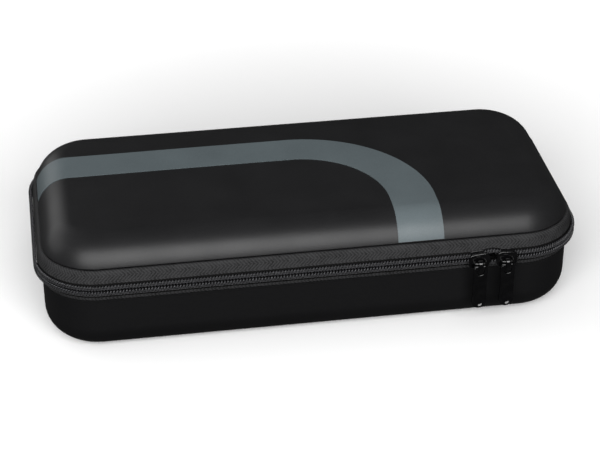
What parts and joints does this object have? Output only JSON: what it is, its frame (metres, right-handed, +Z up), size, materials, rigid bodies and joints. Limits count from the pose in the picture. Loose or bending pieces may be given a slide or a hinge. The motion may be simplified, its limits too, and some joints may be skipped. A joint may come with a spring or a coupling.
{
  "type": "launch monitor carry case",
  "caption": "Zippered hard-shell carry case for a golf launch monitor, with a flush curved stripe, a fabric hinge, sliders with pull tabs, and a cut foam insert.",
  "frame": {"origin": "centre of the case's flat underside, on the surface it rests on", "axes": "+X along the case to the right, +Y to the back where the lid is hinged, +Z up"},
  "size_m": [0.2686, 0.1329, 0.0604],
  "materials": {
    "eva_skin": "matte black fine-grained laminate over moulded EVA foam",
    "stripe_film": "flush matte grey film",
    "woven_tape": "black polyester herringbone zip tape",
    "nylon_coil": "black nylon monofilament coil",
    "fleece_lining": "black brushed tricot lining",
    "ribbon": "black woven binding, thread and elastic",
    "foam": "black closed-cell foam, cut",
    "net": "black knitted net",
    "plated_zinc": "gloss black plated die-cast zinc"
  },
  "bodies": {
    "base": {"base_shell": "eva_skin", "base_lining": "fleece_lining", "base_binding": "ribbon", "base_seam_thread": "ribbon", "lower_zip_tape": "woven_tape", "lower_zip_coil": "nylon_coil", "foam_insert": "foam", "hinge_fabric": "woven_tape", "hinge_lining": "fleece_lining"},
    "lid": {"lid_shell": "eva_skin", "lid_stripe": "stripe_film", "lid_lining": "fleece_lining", "lid_binding": "ribbon", "lid_seam_thread": "ribbon", "upper_zip_tape": "woven_tape", "upper_zip_coil": "nylon_coil", "net_pocket": "net", "pocket_elastic": "ribbon"},
    "left_slider": {"slider_left": "plated_zinc"},
    "left_link": {"pull_link_left": "plated_zinc"},
    "left_tab": {"pull_tab_left": "plated_zinc"},
    "right_slider": {"slider_right": "plated_zinc"},
    "right_link": {"pull_link_right": "plated_zinc"},
    "right_tab": {"pull_tab_right": "plated_zinc"}
  },
  "joints": [
    {"name": "lid_hinge", "type": "hinge", "parent": "base", "child": "lid", "pos_m": [0, 0.06375, 0.0379], "axis": [-1, 0, 0], "range_deg": [0, 180], "deforming": ["hinge_fabric", "hinge_lining"]},
    {"name": "left_slider_slide", "type": "slide", "parent": "base", "child": "left_slider", "axis": [-1, 0, 0], "range_m": [0, 0.176]},
    {"name": "right_slider_slide", "type": "slide", "parent": "base", "child": "right_slider", "axis": [1, 0, 0], "range_m": [0, 0.0055]},
    {"name": "left_link_hinge", "type": "hinge", "parent": "left_slider", "child": "left_link", "pos_m": [0.0785, -0.0675, 0.0379], "axis": [-1, 0, 0], "range_deg": [0, 150]},
    {"name": "left_tab_hinge", "type": "hinge", "parent": "left_link", "child": "left_tab", "pos_m": [0.0785, -0.0675, 0.0363], "axis": [-1, 0, 0], "range_deg": [0, 45]},
    {"name": "right_link_hinge", "type": "hinge", "parent": "right_slider", "child": "right_link", "pos_m": [0.092, -0.0675, 0.0379], "axis": [-1, 0, 0], "range_deg": [0, 150]},
    {"name": "right_tab_hinge", "type": "hinge", "parent": "right_link", "child": "right_tab", "pos_m": [0.092, -0.0675, 0.0363], "axis": [-1, 0, 0], "range_deg": [0, 45]}
  ]
}
